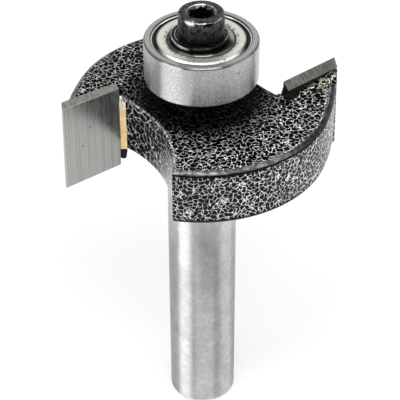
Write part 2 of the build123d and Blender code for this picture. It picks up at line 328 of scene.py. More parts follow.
# %% Build the specks group
specks, given, result = new_group("specks", {"Spacing": 1.0 * MM, "Share": 0.2, "Radius": 0.12}, ("Speck",))
tree = specks
scaled = scaled_by(given["Place"], maths("DIVIDE", 1.0, given["Spacing"]))
cell = node(tree, "ShaderNodeTexVoronoi", {"Vector": scaled, "Scale": 1.0}, feature="F1").outputs
chance = node(tree, "ShaderNodeSeparateColor", {"Color": cell["Color"]}).outputs["Red"]
chosen = maths("LESS_THAN", chance, given["Share"])
soft_edge = product(given["Radius"], 0.6)
feed(result, Speck=product(chosen, fade(cell["Distance"], soft_edge, given["Radius"])))

# %% [markdown]
# ## Group: turned place
# A lathe's marks run round the axis. A place whose X is the radius, and whose other parts change slowly, lets
# the straight lines of a pattern run as rings on a face. With the height as its X they become hoops on a
# barrel.

# %% Build the turned-place group
turned_place, given, result = new_group("turned place", {}, ("Rings", "Hoops"), "NodeSocketVector")
tree = turned_place
parts = node(tree, "ShaderNodeSeparateXYZ", {0: given["Place"]}).outputs
slow = part_of(vector_maths("MULTIPLY", given["Place"], (0.02, 0.02, 0.0)), "X")
rings, hoops = (
    node(tree, "ShaderNodeCombineXYZ", {"X": across, "Y": slow, "Z": parts["Y"]}).outputs[0]
    for across in (radius_of(given["Place"]), parts["Z"])
)
feed(result, Rings=rings, Hoops=hoops)

# %% [markdown]
# ## Finish: hammertone paint
# The cutter's head is sprayed with hammertone: near-black cells between silver veins. Flakes settle level on
# the top, run together on the upright rim and lie thin in the gullets, so one function mixes three coats with
# their own cell size, vein width and cell tone. Every coat is painted lighter towards the right side: a
# painted sheen on the cells, and painted shade that dims the veins towards the left. Two coats have something
# more.
# Round the pilot's foot the top's veins fade out, which is painted shade under the bearing, and they gather
# again along the head's rounded edge. In the gullets the flakes ran together under each lip and dried as a
# smooth silver patch.

# %% Mix the hammertone coats
PAINT = {"IOR": 1.5}
LIP = (7.55 * MM, 12.32 * MM, 37.0 * MM)
GLOW_FROM = 13.5 * MM


def top_veins(tree, veins, tone, bright, radius, vein_shade_to):
    """The top coat's veins: painted shade fades them out inside the radius given last; they gather along the
    rounded edge.
    """
    # Painted shade: the veins fade out round the pilot's foot, under the bearing.
    reach = step(radius, 0.55 * vein_shade_to, vein_shade_to + 0.01 * MM, 0.03, 1.0)
    up = facing_up(tree)
    edge_line = product(
        step(up, 0.55, 0.72),
        fade(up, 0.86, 0.95),
        step(tone, 0.44, 0.6, 0.0, 0.8),
        step(radius, 5.8 * MM, 7.5 * MM),
    )
    glow = step(radius, GLOW_FROM, GLOW_FROM + 0.7 * MM, 0.0, 0.2)
    return greatest(product(veins, reach), edge_line, product(glow, bright))


def silver_run(place, tone, coat, amount):
    """The gullet coat with its flakes run together, by an amount, into a silver patch at each lip."""
    away = vector_maths("SUBTRACT", vector_maths("ABSOLUTE", place), LIP)
    rise = product(part_of(away, "Z"), 1.2)
    from_lip = total(radius_of(away), rise, swing(tone, 5.0 * MM))
    patch = step(from_lip, 3.0 * MM, 9.5 * MM)
    silver = blend(patch, (0.72, 0.72, 0.71), (0.26, 0.26, 0.255))
    silver = blend(step(tone, 0.36, 0.62, 0.35, 1.0), 0.02, silver)
    smooth = product(fade(from_lip, 7.6 * MM, 12.0 * MM), amount)
    return blend(smooth, coat, silver)


def hammertone_coat(name, size, vein, breaks, light, gloss, metal, vein_shade_to=0.0, run=0.0):
    """A coat of cells of a size; its veins fade as painted shade inside the given radius, and run gives its
    silver at the lips.
    """
    material, tree, sockets, place = new_material(name, PAINT | {"Specular IOR Level": gloss})
    cells = use_group(hammer_cells, place, Cell_Size=size, Vein=vein, Bend=0.45, Breaks=breaks)
    veins, tone = cells["Vein"], cells["Tone"]
    sideways = distance_along(place, RIGHT)
    # Painted sheen: the cells are painted up to four times lighter towards the right side.
    painted_sheen = step(sideways, 5.0 * MM, 13.0 * MM, light, 4.0 * light)
    cell_colour = blend(tone, 0.0, painted_sheen)
    bright = step(tone, 0.36, 0.6)
    vein_colour = blend(bright, 0.2, (1.0, 1.0, 0.98))
    # Painted shade: the veins are painted darker towards the left side.
    painted_lit_side = step(sideways, -4.0 * MM, 9.0 * MM, 0.72, 1.0)
    vein_colour = blend(painted_lit_side, 0.0, vein_colour)
    if vein_shade_to:
        veins = top_veins(tree, veins, tone, bright, radius_of(place), vein_shade_to)
    coat = blend(veins, cell_colour, vein_colour)
    if run:
        coat = silver_run(place, tone, coat, run)
    feed(
        sockets,
        Base_Color=coat,
        Metallic=product(veins, metal),
        Roughness=blend_values(veins, 0.2, 0.3),
        Normal=bump(cells["Height"], 0.03 * MM, 0.7),
    )
    return material


VEINS_FROM = 10.8 * MM
hammertone_top = hammertone_coat("hammertone top", 0.55 * MM, 0.12, 0.38, 0.001, 0.01, 0.55, VEINS_FROM)
hammertone_rim = hammertone_coat("hammertone rim", 0.5 * MM, 0.13, 0.34, 0.018, 0.03, 1.0)
hammertone_gullet = hammertone_coat("hammertone gullet", 0.85 * MM, 0.1, 0.36, 0.002, 0.05, 0.8, run=0.85)
print("coats:", hammertone_top.name, hammertone_rim.name, hammertone_gullet.name)

# %% [markdown]
# ## Finish: paint on the rounded edges
# Wet paint draws back from a convex edge. What stays is a smooth silvery band along the upper half of the
# rounding, and the rounding below the band is plain black. How far a point faces up tells where it sits on
# the rounding. The band fades out towards the right side, which is painted shade, and noise breaks it up.

# %% Mix the edge paint
paint_edge, tree, sockets, place = new_material("paint on edges", PAINT | {"Specular IOR Level": 0.1})
wander = noise(place, 1100.0, 3.0)
height = total(facing_up(tree), swing(wander, 0.35))
band = product(step(height, 0.42, 0.54), step(height, 0.98, 1.08, 1.0, 0.5))
band_strength = product(
    # Painted shade: the silver band fades out towards the right side.
    step(part_of(place, "X"), 2.0 * MM, 9.0 * MM, 1.0, 0.12),
    step(radius_of(place), 13.4 * MM, 14.0 * MM, 0.3, 1.0),
    step(noise(place, 1300.0, 4.0), 0.4, 0.6, 0.25, 1.0),
)
silver = product(band, band_strength)
feed(
    sockets,
    Base_Color=blend(silver, 0.002, (0.2, 0.2, 0.195)),
    Metallic=product(silver, 0.9),
    Roughness=blend_values(silver, 0.25, 0.5),
    Normal=bump(wander, 0.02 * MM, 0.5),
)

# %% [markdown]
# ## Finish: ground shank steel
# The shank is centreless ground: the wheel leaves fine hoops round it, so it is smooth along the hoops and
# rougher across them. That is anisotropy, and it turns a soft lamp into the tall streak that every such
# shank shows. The tangent follows the hoops round the axis. The collet has left tall scratches. Near the head
# the steel is shinier, and it is painted paler there as painted light.

# %% Mix the shank steel
HIGH_SHANK_FROM, HIGH_SHANK_TO = 20.0 * MM, 33.0 * MM
TURNED = {"Metallic": 1.0, "Anisotropic": 1.0, "Anisotropic Rotation": 0.25}


def round_axis(tree):
    """A tangent that runs round the upright axis, which anisotropy follows."""
    return node(tree, "ShaderNodeTangent", direction_type="RADIAL", axis="Z").outputs[0]


shank_steel, tree, sockets, place = new_material("shank steel", TURNED)
hoops = use_group(turned_place, place)["Hoops"]
lines = use_group(drawn_lines, hoops, Spacing=0.05 * MM, Length=9.0 * MM)
marks = use_group(specks, place, Spacing=0.9 * MM, Share=0.1, Radius=0.1)
tall = use_group(drawn_lines, place, Spacing=0.22 * MM, Length=3.0 * MM)
cloud = noise(place, 420.0, 5.0, Roughness=0.65)
mottle = noise(place, 1900.0, 4.0)
near_head = step(part_of(place, "Z"), HIGH_SHANK_FROM, HIGH_SHANK_TO)
worn = blend_values(0.35, step(cloud, 0.35, 0.65), lines["Streaks"])
scratch = product(step(tall["Lines"], 0.62, 0.7), step(cloud, 0.5, 0.6), 0.5)
feed(
    sockets,
    Base_Color=layered(
        blend(worn, 0.44, (0.58, 0.58, 0.575)),
        (scratch, (0.8, 0.8, 0.79)),
        # Painted light: near the head the steel is painted paler.
        (product(near_head, 0.5), (0.66, 0.66, 0.655)),
        (step(mottle, 0.35, 0.7, 0.16, 0.0), 0.1),
        (product(marks["Speck"], 0.6), (0.06, 0.058, 0.055)),
    ),
    Roughness=blend_values(near_head, blend_values(lines["Lines"], 0.5, 0.58), 0.25),
    Tangent=round_axis(tree),
)

# %% [markdown]
# ## Finish: ground carbide
# The tips are tungsten carbide, ground by a diamond wheel. The wheel's lines run up the cutting face and the
# flank, and across the narrow end faces. Which way a point faces tells which lines it gets, so the geometry's
# normal picks between the two sets. The cutting edge is chipped pale, small pits are scattered over the
# faces, and one face has two larger ones.

# %% Mix the carbide
FACE = Vector((math.cos(HOOK), math.sin(HOOK)))
BACK = Vector((math.sin(HOOK), -math.cos(HOOK)))
EDGE_REACH = EDGE_POINT.x * math.cos(HOOK)
CARBIDE_PITS = ((5.93, 41.36, 0.12), (2.35, 39.9, 0.1))
carbide, tree, sockets, place = new_material("ground carbide", {"Metallic": 1.0})
end_face = step(maths("ABSOLUTE", facing_up(tree)), 0.5, 0.8)
turn = (math.radians(90), 0.0, -HOOK)
turned = node(tree, "ShaderNodeMapping", {"Vector": place, "Rotation": turn}).outputs[0]
lines_up = use_group(drawn_lines, place, Spacing=0.09 * MM, Length=30.0 * MM)
lines_over = use_group(drawn_lines, turned, Spacing=0.2 * MM, Length=3.0 * MM)["Lines"]
pits = use_group(specks, place, Spacing=1.6 * MM, Share=0.16, Radius=0.09)
line_value = blend_values(end_face, lines_up["Lines"], lines_over)
streaks = blend_values(0.6, lines_up["Streaks"], step(lines_up["Lines"], 0.3, 0.7))
face_colour = blend(streaks, (0.24, 0.245, 0.24), (0.44, 0.44, 0.42))
end_lines = step(lines_over, 0.36, 0.64)
end_colour = blend(end_lines, (0.17, 0.17, 0.15), (0.29, 0.29, 0.265))
ground = blend(end_face, face_colour, end_colour)
outwards = maths("ABSOLUTE", distance_along(place, (*FACE, 0.0)))
chip_reach = maths("SUBTRACT", EDGE_REACH, product(noise(place, 2400.0, 2.0), 0.3 * MM))
chipped = product(maths("GREATER_THAN", outwards, chip_reach), 0.6)
ground = blend(chipped, ground, (0.5, 0.5, 0.47))
for inwards, height, size in CARBIDE_PITS:
    plan = FACE * inwards - EDGE_POINT / MM
    pit = distance_from(place, (*plan, height))
    mask = fade(pit, 0.6 * size * MM, 1.3 * size * MM)
    ground = blend(mask, ground, 0.004)
feed(
    sockets,
    Base_Color=blend(pits["Speck"], ground, (0.05, 0.05, 0.045)),
    Roughness=blend_values(line_value, 0.16, 0.36),
    Normal=bump(line_value, 0.004 * MM, 0.6),
)

# %% [markdown]
# ## Finish: braze
# Silver solder fills the joint at each tip: a warm yellow alloy with pale scale where the flux burned.
# Towards the top of the joint it is painted paler still, which is a painted highlight.

# %% Mix the braze
braze_metal, tree, sockets, place = new_material("braze metal", {"Metallic": 0.9})
cloud = noise(place, 900.0, 3.0)
# Painted highlight: the braze is painted paler towards the top of the joint.
high = step(part_of(place, "Z"), 40.5 * MM, 44.5 * MM)
painted_highlight = total(high, swing(noise(place, 3000.0, 3.0)))
warm = blend(cloud, (0.58, 0.38, 0.12), (0.9, 0.74, 0.42))
warm = blend(step(painted_highlight, 0.3, 0.95), warm, (0.74, 0.7, 0.6))
feed(
    sockets,
    Base_Color=blend(step(cloud, 0.52, 0.7), warm, (0.75, 0.68, 0.52)),
    Roughness=blend_values(cloud, 0.35, 0.55),
    Normal=bump(cloud, 0.03 * MM, 0.6),
)

# %% [markdown]
# ## Finish: overspray and painted reflection
# The tips' backs and inner ends were not masked, so the black coat runs over them: nearly solid at the root
# and thinner towards the cutting edge, where it breaks into specks with bare carbide between them. Its black
# is
# partly painted reflection too: the back faces mirror the dark top of the head in front of them.

# %% Mix the overspray and its painted reflection
overspray_and_reflection, tree, sockets, place = new_material("overspray on carbide", PAINT | {"Specular IOR Level": 0.2})
outwards = maths("ABSOLUTE", distance_along(place, (*FACE, 0.0)))
reach = step(outwards, 11.2 * MM, 15.4 * MM, 0.75, 0.47)
patches = noise(place, 2300.0, 3.0)
bare = step(patches, reach, total(reach, 0.06))
grey = blend(patches, (0.3, 0.3, 0.28), (0.6, 0.6, 0.57))
feed(
    sockets,
    # Painted reflection: the black also stands for the dark head top that the backs mirror.
    Base_Color=blend(bare, 0.004, grey),
    Metallic=bare,
    Roughness=blend_values(bare, 0.3, 0.4),
    Normal=bump(patches, 0.03 * MM, 0.6),
)

# %% [markdown]
# ## Finish: painted-over braze and burnt flux
# Along a tip's back the braze fillet is sprayed with the head, and gold shows only where the coat missed.
# The flux that boiled out of the joint stays as black glass.

# %% Mix the painted braze and the flux
painted_braze, tree, sockets, place = new_material("painted braze", PAINT | {"Specular IOR Level": 0.05})
veins = use_group(hammer_cells, place, Cell_Size=0.5 * MM, Vein=0.15, Bend=0.5, Breaks=0.4)["Vein"]
missed = noise(place, 1500.0, 2.0)
gold = step(missed, 0.6, 0.66)
coat = blend(veins, 0.002, (0.5, 0.5, 0.49))
shine = greatest(veins, gold)
feed(
    sockets,
    Base_Color=blend(product(gold, 0.7), coat, (0.3, 0.25, 0.11)),
    Metallic=shine,
    Roughness=blend_values(shine, 0.25, 0.35),
    Normal=bump(missed, 0.05 * MM, 0.6),
)

burnt_flux, tree, sockets, place = new_material("burnt flux", PAINT | {"Specular IOR Level": 0.12})
crust = noise(place, 3200.0, 4.0)
feed(
    sockets,
    Base_Color=blend(crust, 0.001, (0.012, 0.011, 0.01)),
    Roughness=blend_values(crust, 0.18, 0.5),
    Normal=bump(crust, 0.03 * MM, 0.7),
)

# %% [markdown]
# ## Finish: bearing steel
# The bearing's outer ring is ground and tumbled, which gives a satin, faintly speckled skin and one small
# pit.
# Its rounded corners are painted darker: painted shade, which also dims their highlight. The walls of the
# groove between the rings are painted dark as painted shade, and the inner ring's face is dark but for one
# side.

# %% Mix the bearing steel
GROOVE_IN, GROOVE_OUT = 3.72 * MM, 5.56 * MM
INNER_DARK_R = 3.6 * MM
SPARED_SIDE = (0.99, 0.14, 0.0)
RING_PIT = (2.12, -5.99, 50.19)
bearing_steel, tree, sockets, place = new_material("bearing steel", TURNED | {"Anisotropic": 0.92})
hoops = use_group(turned_place, place)["Hoops"]
lines = use_group(drawn_lines, hoops, Spacing=0.06 * MM, Length=5.0 * MM)["Lines"]
fine = use_group(specks, place, Spacing=0.5 * MM, Share=0.2, Radius=0.17)["Speck"]
marks = use_group(specks, place, Spacing=0.8 * MM, Share=0.2, Radius=0.085)["Speck"]
grain = noise(place, 6200.0, 2.0)
radius = radius_of(place)
up = facing_up(tree)
# Painted shade: the rounded corners are painted darker.
rounding = product(step(up, 0.12, 0.3), fade(up, 0.86, 0.98), 0.75)
# Painted shade: the groove walls between the rings are painted dark.
groove_shade = product(
    fade(radius, GROOVE_OUT, GROOVE_OUT + 0.1 * MM),
    step(radius, GROOVE_IN, GROOVE_IN + 0.08 * MM),
)
# The inner ring's face is dark inside a radius, except towards one side.
inner_dark = product(
    fade(radius, INNER_DARK_R, INNER_DARK_R + 0.06 * MM),
    step(distance_along(place, SPARED_SIDE), 2.4 * MM, 3.1 * MM, 1.0, 0.15),
)
feed(
    sockets,
    Base_Color=layered(
        blend(step(grain, 0.3, 0.7), (0.41, 0.41, 0.405), (0.58, 0.58, 0.575)),
        (greatest(product(fine, 0.45), product(marks, 0.85)), (0.03, 0.029, 0.025)),
        (rounding, (0.05, 0.05, 0.048)),
        (fade(distance_from(place, RING_PIT), 0.07 * MM, 0.13 * MM), 0.005),
        (greatest(groove_shade, inner_dark), (0.02, 0.019, 0.015)),
    ),
    Roughness=blend_values(lines, 0.22, 0.3),
    Normal=bump(grain, 0.004 * MM, 0.35),
    Tangent=round_axis(tree),
)

# %% [markdown]
# ## Finish: shield sheet
# The shields are pressed from thin plated sheet, paler and duller than the ground rings. The inner lip is
# speckled dark, most at the front. The gutter beside the wire ring is painted dark, most at the back: that is
# painted shade in the groove.

# %% Mix the shield sheet
LIP_IN, LIP_OUT = 3.95 * MM, 4.4 * MM
GUTTER_IN, GUTTER_OUT = 4.66 * MM, 4.98 * MM
shield_sheet, tree, sockets, place = new_material("shield sheet", {"Metallic": 0.9})
rings = use_group(turned_place, place)["Rings"]
lines = use_group(drawn_lines, rings, Spacing=0.08 * MM, Length=6.0 * MM)["Lines"]
marks = use_group(specks, place, Spacing=0.8 * MM, Share=0.14, Radius=0.12)["Speck"]
grain = noise(place, 4200.0, 2.0)
lip_noise = noise(place, 2600.0, 3.0)
radius = radius_of(place)
forward = distance_along(place, FRONT)
nearer = step(forward, 0.5 * MM, 3.6 * MM, 0.0, 0.12)
lip = total(step(radius, LIP_IN, LIP_OUT, 0.68, 0.3), nearer)
speckled = product(step(lip_noise, maths("SUBTRACT", 1.0, lip), 0.72), 0.8)
# Painted shade: the gutter is painted dark, least at the front.
shade_towards_back = step(forward, 1.5 * MM, 3.8 * MM, 1.0, 0.12)
gutter_shade = product(step(radius, GUTTER_IN, GUTTER_OUT), shade_towards_back)
sheet = blend(grain, (0.7, 0.7, 0.63), (0.9, 0.9, 0.82))
sheet = blend(greatest(product(marks, 0.5), speckled), sheet, (0.1, 0.095, 0.08))
feed(
    sockets,
    Base_Color=blend(gutter_shade, sheet, (0.035, 0.033, 0.024)),
    Roughness=blend_values(lines, 0.34, 0.48),
    Normal=bump(lines, 0.003 * MM, 0.5),
)

# %% [markdown]
# ## Finish: spring wire, cage sheet and polished balls
# Small pieces of the bearing: drawn spring wire, pressed cage sheet and balls lapped to a mirror. They share
# the same graph with different values, so one function makes all three.


# %% Mix the small bearing metals
def small_metal(name, dark, light, rough_low, rough_high):
    """A metal whose tone and roughness drift with fine noise."""
    material, tree, sockets, place = new_material(name, {"Metallic": 1.0})
    drift = noise(place, 2600.0, 3.0)
    feed(
        sockets,
        Base_Color=blend(drift, dark, light),
        Roughness=blend_values(drift, rough_low, rough_high),
        Normal=bump(drift, 0.002 * MM, 0.3),
    )
    return material


spring_wire = small_metal("spring wire", (0.5, 0.5, 0.49), (0.85, 0.85, 0.83), 0.16, 0.28)
cage_sheet = small_metal("cage sheet", (0.4, 0.4, 0.38), (0.56, 0.56, 0.54), 0.3, 0.45)
ball_chrome = small_metal("ball chrome", (0.66, 0.66, 0.67), (0.74, 0.74, 0.75), 0.04, 0.1)

# %% [markdown]
# ## Finish: black oxide
# The screw and the washer are blackened. The finish is thin, so it wears to bright steel where a key or a
# finger touches: round the socket, on the head's rim and where something scraped its flank. The bright arc on
# the rim is partly a painted highlight, and the fine bright arcs at the washer are painted highlights along
# the edges there. The grey patches are lighter near the head's top and fade towards the bottom. One smear of
# oil keeps the finish black.

# %% Mix the black oxide
SOCKET_R = 1.58 * MM
SCREW_HEAD_R = 2.4 * MM
WASHER_BELOW = 2.6 * MM
WASHER_ARCS = (2.55 * MM, 2.9 * MM, 3.3 * MM)
SCRAPE = (-1.88, -1.72, 54.75)
SMEAR = (-0.1, -2.6, 54.6)
black_oxide, tree, sockets, place = new_material("black oxide", {"Metallic": 1.0})
cloud = noise(place, 2300.0, 5.0, Roughness=0.7)
fine = noise(place, 5200.0, 3.0)
radius = radius_of(place)
below_top = maths("SUBTRACT", SCREW_TOP, part_of(place, "Z"))


def off_ring(ring):
    """How far a place lies inside or outside a ring of a radius."""
    return maths("ABSOLUTE", maths("SUBTRACT", radius, ring))


# The grey patches are lighter near the head's top and fade towards the bottom.
brighter_near_top = step(below_top, 0.3 * MM, 2.4 * MM, 1.0, 0.12)
grey_patches = product(step(cloud, 0.32, 0.72), brighter_near_top)
clean = step(distance_from(place, SMEAR, (0.7, 1.0, 2.6)), 0.3 * MM, 0.5 * MM)
oxide = blend(grey_patches, 0.003, (0.12, 0.12, 0.117))
oxide = blend(clean, 0.001, oxide)
socket_edge = product(
    step(off_ring(SOCKET_R), 0.02 * MM, 0.07 * MM, 0.6, 0.0),
    fade(below_top, 0.2 * MM, 0.3 * MM),
    step(cloud, 0.38, 0.56),
)
# The rim's bright arc: wear, and a painted highlight.
rim_wear_and_highlight = product(
    step(radius, SCREW_HEAD_R - 0.12 * MM, SCREW_HEAD_R),
    fade(below_top, 0.12 * MM, 0.24 * MM),
    clean,
    step(cloud, 0.4, 0.65, 0.0, 0.28),
)
scrape = product(
    fade(distance_from(place, SCRAPE, (1.0, 1.0, 1.5)), 0.25 * MM, 0.75 * MM),
    step(fine, 0.4, 0.55),
)
# Painted highlights: bright arcs along the edges at the washer.
painted_arc_highlights = product(
    greatest(*(fade(off_ring(arc), 0.01 * MM, 0.05 * MM) for arc in WASHER_ARCS)),
    step(below_top, WASHER_BELOW, WASHER_BELOW + 0.2 * MM),
    step(cloud, 0.38, 0.52, 0.0, 0.9),
)
# Wear and painted highlights together.
worn = greatest(socket_edge, scrape, painted_arc_highlights, rim_wear_and_highlight)
feed(
    sockets,
    Base_Color=blend(worn, oxide, (0.75, 0.75, 0.72)),
    Roughness=blend_values(cloud, 0.16, 0.42),
    Normal=bump(fine, 0.01 * MM, 0.6),
)

# %% [markdown]
# ## Give the carried-over pieces their finishes
# A piece whose CAD shape is already right only needs its finish. Each node's material slot is set by name.

# %% Assign the finishes
finish_of = {
    "outer_ring": bearing_steel,
    "inner_ring": bearing_steel,
    "cage_upper": cage_sheet,
    "cage_lower": cage_sheet,
    "shield_upper": shield_sheet,
    "shield_lower": shield_sheet,
    "wire_ring_upper": spring_wire,
    "wire_ring_lower": spring_wire,
    "washer": black_oxide,
    "cap_screw": black_oxide,
    "carbide_tip_1": carbide,
    "carbide_tip_2": carbide,
    "braze_1": braze_metal,
    "braze_2": braze_metal,
    "cutter_body": hammertone_top,
} | {f"ball_{number}": ball_chrome for number in range(1, 8)}
for name, material in finish_of.items():
    for slot in nodes[name].material_slots:
        slot.material = material
print("finished nodes:", len(finish_of))

# %% [markdown]
# ## The cutter: paint on the head, bare steel on the shank
# The head is painted and the shank is bare, and both are one piece of steel. A copy of the cutter's mesh
# takes all five finishes, and each face gets its own by height, radius and slope. Only the rounding at the
# head's full radius takes the edge paint: round the gullets it is painted like the top. The copy stands for
# the CAD node.

# %% Split the cutter's finish by height
PAINT_LOW = HEAD_LOW - 0.35 * MM
PAINT_HIGH = BEARING_LOW - 0.05 * MM
EDGE_FROM, RIM_FROM = 0.955 * HEAD_R, 0.985 * HEAD_R
UPRIGHT, SLOPING, LEVEL = 0.03, 0.5, 0.995
cutter = bpy.data.objects.new("painted_cutter", nodes["cutter_body"].data.copy())
bpy.context.scene.collection.objects.link(cutter)
COATS = [hammertone_top, hammertone_rim, hammertone_gullet, paint_edge, shank_steel]
TOP, RIM, GULLET, EDGE, BARE = range(len(COATS))
cutter.data.materials.clear()
for coat in COATS:
    cutter.data.materials.append(coat)


def coat_at(centre, normal):
    """Which coat a face of the cutter gets."""
    radius = math.hypot(centre.x, centre.y)
    if not PAINT_LOW < centre.z < PAINT_HIGH:
        return BARE
    slope = abs(normal.z)
    if radius < BOSS_R or slope > LEVEL:
        return TOP
    if slope > UPRIGHT and radius > EDGE_FROM:
        return EDGE
    if slope > SLOPING:
        return TOP
    return RIM if radius > RIM_FROM else GULLET


for polygon in cutter.data.polygons:
    polygon.material_index = coat_at(polygon.center, polygon.normal)
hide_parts("cutter_body")
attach(cutter, "cutter")
coat_numbers = [polygon.material_index for polygon in cutter.data.polygons]
print("faces of each coat:", [coat_numbers.count(coat) for coat in range(len(COATS))])

# %% [markdown]
# ## Carbide tips: fine bevels and two finishes
# A diamond wheel leaves every corner of a tip with a hair-thin flat that catches the light. A Bevel modifier
# could make it, but here bmesh does it in one call on a merged copy of the CAD mesh. The back and the inner
# end then take the black coat, whose black is also a painted reflection, and the other faces stay ground
# carbide. The braze gets the same treatment.


# %% Rebuild the tips and the braze
TIP_BEVEL, BRAZE_BEVEL = 0.045 * MM, 0.02 * MM
MERGE_DISTANCE = 0.0005 * MM
SHARP, FLAT = math.radians(15.0), math.radians(1.0)
SQUARELY = 0.7


def merged_copy(name, node_name):
    """A copy of a CAD node's mesh with its loose triangles joined into whole faces: an object and a bmesh."""
    piece = bpy.data.objects.new(name, nodes[node_name].data.copy())
    bpy.context.scene.collection.objects.link(piece)
    shape = bmesh.new()
    shape.from_mesh(piece.data)
    bmesh.ops.remove_doubles(shape, verts=shape.verts, dist=MERGE_DISTANCE)
    bmesh.ops.dissolve_limit(shape, angle_limit=FLAT, verts=shape.verts, edges=shape.edges)
    return piece, shape


def beveled(node_name, name, width, finishes, choose, body):
    """A piece with beveled edges that stands for a CAD node; choose gives each face its finish's number."""
    piece, shape = merged_copy(name, node_name)
    sharp = [edge for edge in shape.edges if edge.calc_face_angle(0.0) > SHARP]
    bmesh.ops.bevel(
        shape, geom=sharp, offset=width, segments=2, profile=0.5, affect="EDGES", clamp_overlap=True
    )
    shape.normal_update()
    piece.data.materials.clear()
    for finish in finishes:
        piece.data.materials.append(finish)
    for face in shape.faces:
        face.material_index = choose(face.normal)
    shape.to_mesh(piece.data)
    shape.free()
    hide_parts(node_name)
    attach(piece, body)
    print(name, len(piece.data.polygons), "faces")


def tip_finish(side):
    """The rule for tip 1 (side 1) or tip 2 (side -1): back and inner end get the black coat and painted
    reflection.
    """
    back = Vector((*BACK, 0.0)) * side
    inner = Vector((-1.0, 0.0, 0.0)) * side
    return lambda normal: 1 if max(normal.dot(back), normal.dot(inner)) > SQUARELY else 0


def braze_finish(side):
    """The rule for braze 1 (side 1) or 2 (side -1): only the face towards the gullet is bare metal."""
    front = Vector((*BACK, 0.0)) * -side
    return lambda normal: 0 if normal.dot(front) > SQUARELY else 1


TIP_FINISHES = [carbide, overspray_and_reflection]
BRAZE_FINISHES = [braze_metal, hammertone_gullet]
for number, side in ((1, 1), (2, -1)):
    tip, fill = f"carbide_tip_{number}", f"braze_{number}"
    beveled(tip, f"ground_tip_{number}", TIP_BEVEL, TIP_FINISHES, tip_finish(side), "cutter")
    beveled(fill, f"braze_fill_{number}", BRAZE_BEVEL, BRAZE_FINISHES, braze_finish(side), "cutter")

# %% [markdown]
# ## From a tree to a plain mesh
# A Geometry Nodes tree is a rule that makes geometry from named inputs. Two helpers start and end a tree. A
# third gives it to a modifier, sets the modifier's inputs by their identifiers, and turns the evaluated
# object into a mesh of its own. The result needs no modifier any more, so it can be exported and can ride a
# body of the model.


# %% Grow a piece from a tree
def new_geometry_tree(name, vectors, floats):
    """A Geometry Nodes tree with vector and float inputs and a material input, and its given outputs."""
    tree = bpy.data.node_groups.new(name, "GeometryNodeTree")
    tree.interface.new_socket("Geometry", in_out="OUTPUT", socket_type="NodeSocketGeometry")
    for kind, titles in (("Vector", vectors), ("Float", floats), ("Material", ("Finish",))):
        for title in titles:
            tree.interface.new_socket(title, in_out="INPUT", socket_type=f"NodeSocket{kind}")
    return tree, tree.nodes.new("NodeGroupInput").outputs


def finish_tree(tree, geometry, finish):
    """End a tree with smooth shading, real geometry and a material."""
    smooth = node(tree, "GeometryNodeSetShadeSmooth", {"Geometry": geometry})
    real = node(tree, "GeometryNodeRealizeInstances", {"Geometry": smooth.outputs[0]})
    coated = node(tree, "GeometryNodeSetMaterial", {"Geometry": real.outputs[0], "Material": finish})
    tree.links.new(coated.outputs[0], tree.nodes.new("NodeGroupOutput").inputs[0])
    print("tree:", tree.name, len(tree.nodes), "nodes")


def grown(name, tree, inputs, body):
    """A plain mesh from a Geometry Nodes tree with the given inputs, riding a body."""
    seedling = bpy.data.objects.new(f"{name}_seedling", bpy.data.meshes.new(name))
    bpy.context.scene.collection.objects.link(seedling)
    modifier = seedling.modifiers.new("tree", "NODES")
    modifier.node_group = tree
    identifiers = {item.name: item.identifier for item in tree.interface.items_tree if item.in_out == "INPUT"}
    for title, value in inputs.items():
        modifier[identifiers[title]] = value
    bpy.context.view_layer.update()
    evaluated = seedling.evaluated_get(bpy.context.evaluated_depsgraph_get())
    mesh = bpy.data.meshes.new_from_object(evaluated)
    seedling.modifiers.remove(modifier)
    bpy.data.objects.remove(seedling)
    piece = bpy.data.objects.new(name, mesh)
    bpy.context.scene.collection.objects.link(piece)
    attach(piece, body)
    print(name, len(mesh.polygons), "faces, finish", [material.name for material in mesh.materials])
    return piece


# %% [markdown]
# ## Geometry Nodes: beads of braze and paint
# Molten braze climbs a joint and sets as a bead: thin where the joint is tight, fat where there was too much
# solder. A bead is a round profile swept along a path, with a radius that changes on the way, rounded ends
# and a lumpy skin. One tree makes every bead from two ends, two radii and a seed.

# %% Build the bead tree
END_ROUNDNESS = 12.0
bead_tree, given = new_geometry_tree(
    "bead along a joint", ("Start", "End"), ("Start Radius", "End Radius", "Lumps", "Lump Size", "Seed")
)
tree = bead_tree
line = node(tree, "GeometryNodeCurvePrimitiveLine", {"Start": given["Start"], "End": given["End"]})
path = node(tree, "GeometryNodeResampleCurve", {"Curve": line.outputs[0], "Count": 40}).outputs[0]
along_path = node(tree, "GeometryNodeSplineParameter").outputs["Factor"]
ends = {"Value": along_path, "To Min": given["Start Radius"], "To Max": given["End Radius"]}
bead_radius = node(tree, "ShaderNodeMapRange", ends).outputs["Result"]
to_end = maths("MINIMUM", along_path, maths("SUBTRACT", 1.0, along_path))
round_end = maths("SQRT", maths("MINIMUM", product(to_end, END_ROUNDNESS), 1.0))
bead_radius = product(bead_radius, greatest(round_end, 0.02))
profile = node(tree, "GeometryNodeCurvePrimitiveCircle", {"Resolution": 20, "Radius": 1.0}).outputs[0]
swept = {"Curve": path, "Profile Curve": profile, "Scale": bead_radius, "Fill Caps": True}
tube = node(tree, "GeometryNodeCurveToMesh", swept).outputs[0]
position = node(tree, "GeometryNodeInputPosition").outputs[0]
skin = {"Vector": position, "W": given["Seed"], "Scale": given["Lump Size"]}
lumps = node(tree, "ShaderNodeTexNoise", skin, noise_dimensions="4D").outputs["Fac"]
lump = swing(lumps, given["Lumps"])
offset = scaled_by(node(tree, "GeometryNodeInputNormal").outputs[0], lump)
lumpy = node(tree, "GeometryNodeSetPosition", {"Geometry": tube, "Offset": offset}).outputs[0]
finish_tree(tree, lumpy, given["Finish"])

